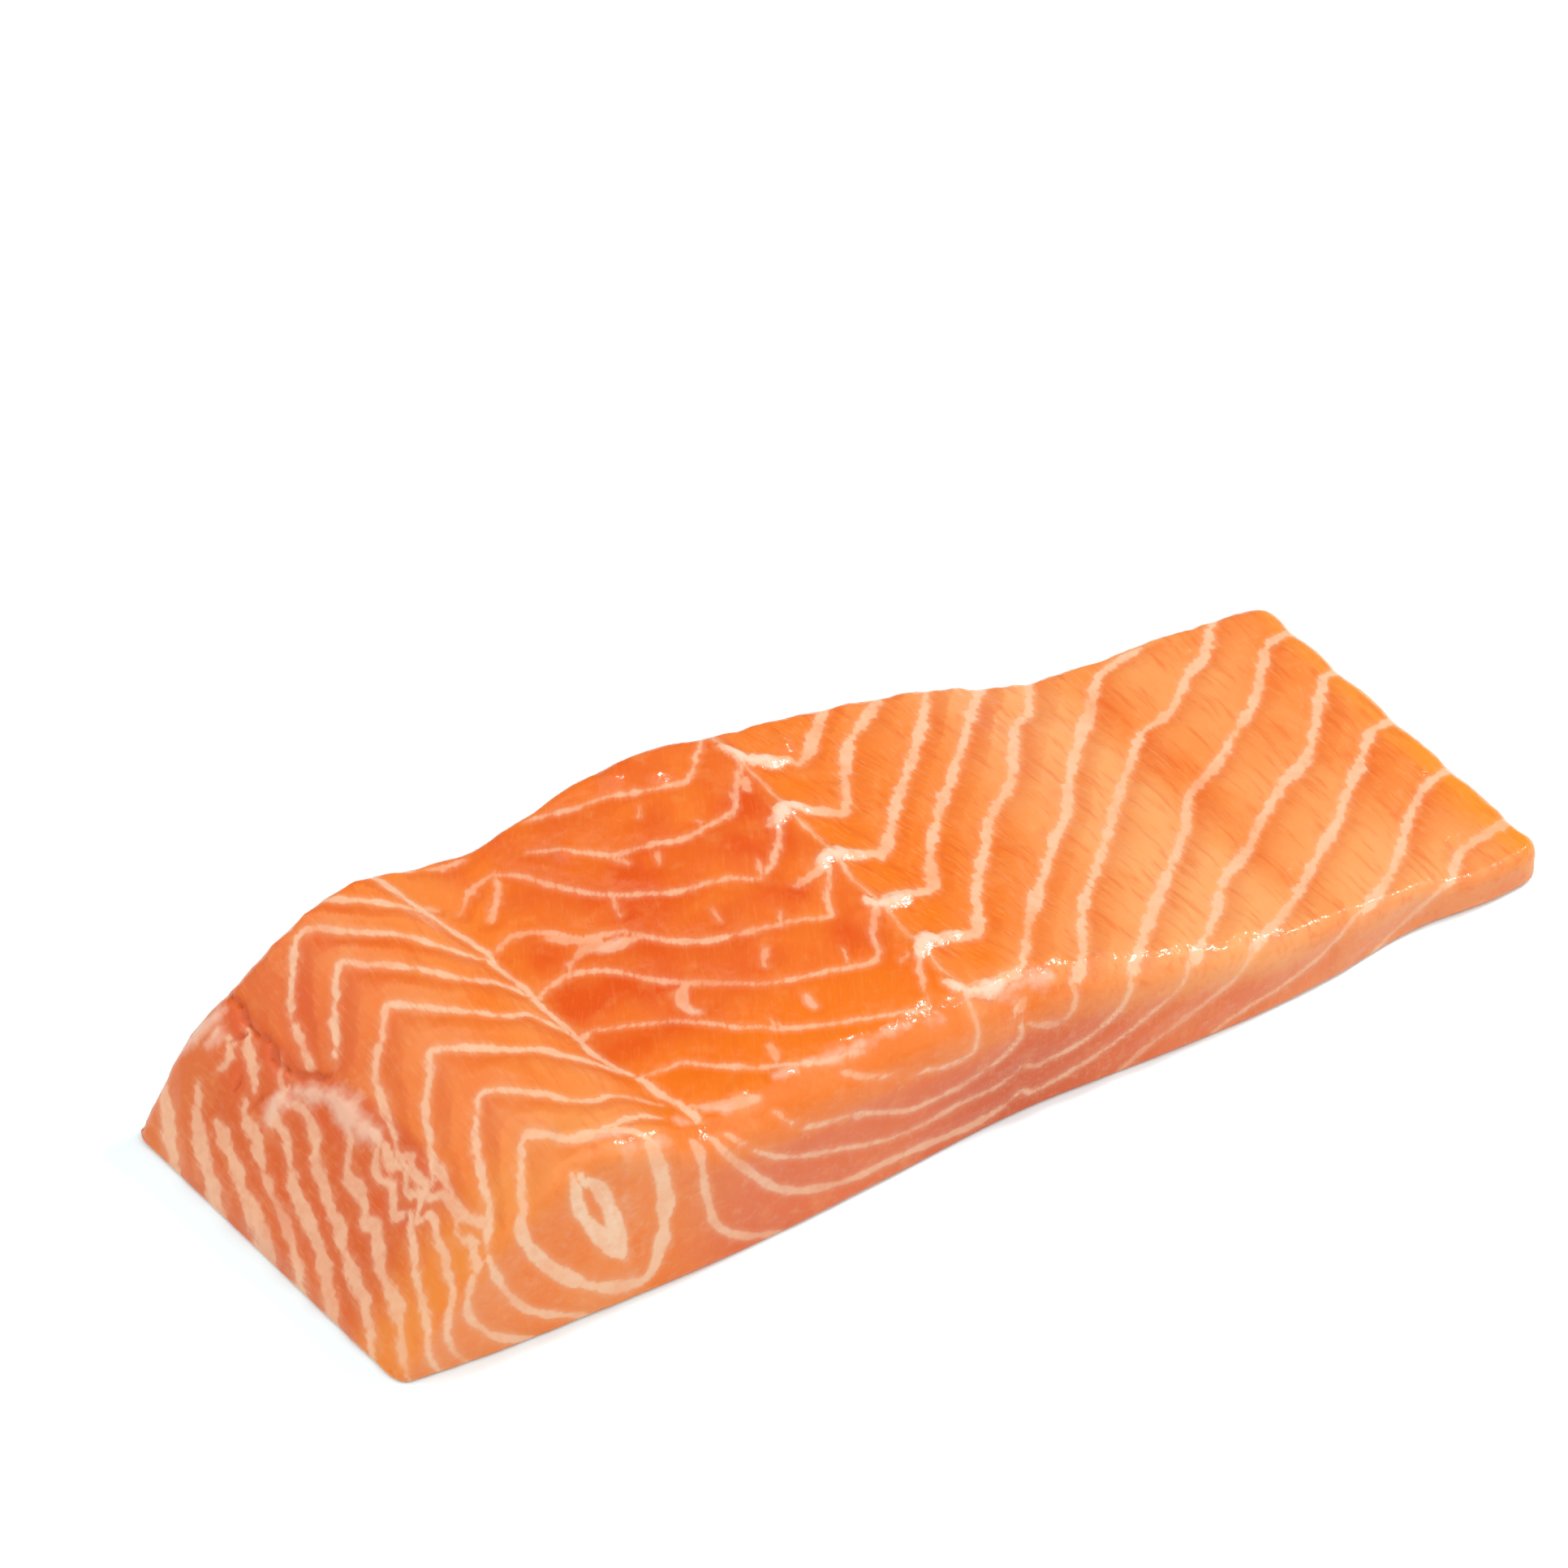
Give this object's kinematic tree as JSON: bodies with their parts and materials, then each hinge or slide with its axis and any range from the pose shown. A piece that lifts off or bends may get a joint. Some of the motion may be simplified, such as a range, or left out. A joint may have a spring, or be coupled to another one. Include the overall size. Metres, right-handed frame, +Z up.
{
  "type": "skinless salmon fillet",
  "caption": "Skinless salmon fillet portion cut across the fish, thick at the back of the fish and thin at the belly, lying on its flat skin side.",
  "frame": {"origin": "middle of the flat underside, at the centre of the bounding box's base", "axes": "+X runs from the thick end to the thin belly end, +Y from the near cut face to the far one, +Z up"},
  "size_m": [0.1542, 0.052, 0.0248],
  "materials": {
    "salmon_flesh": "wet raw flesh"
  },
  "bodies": {
    "root": {"salmon_fillet": "salmon_flesh"}
  },
  "joints": []
}
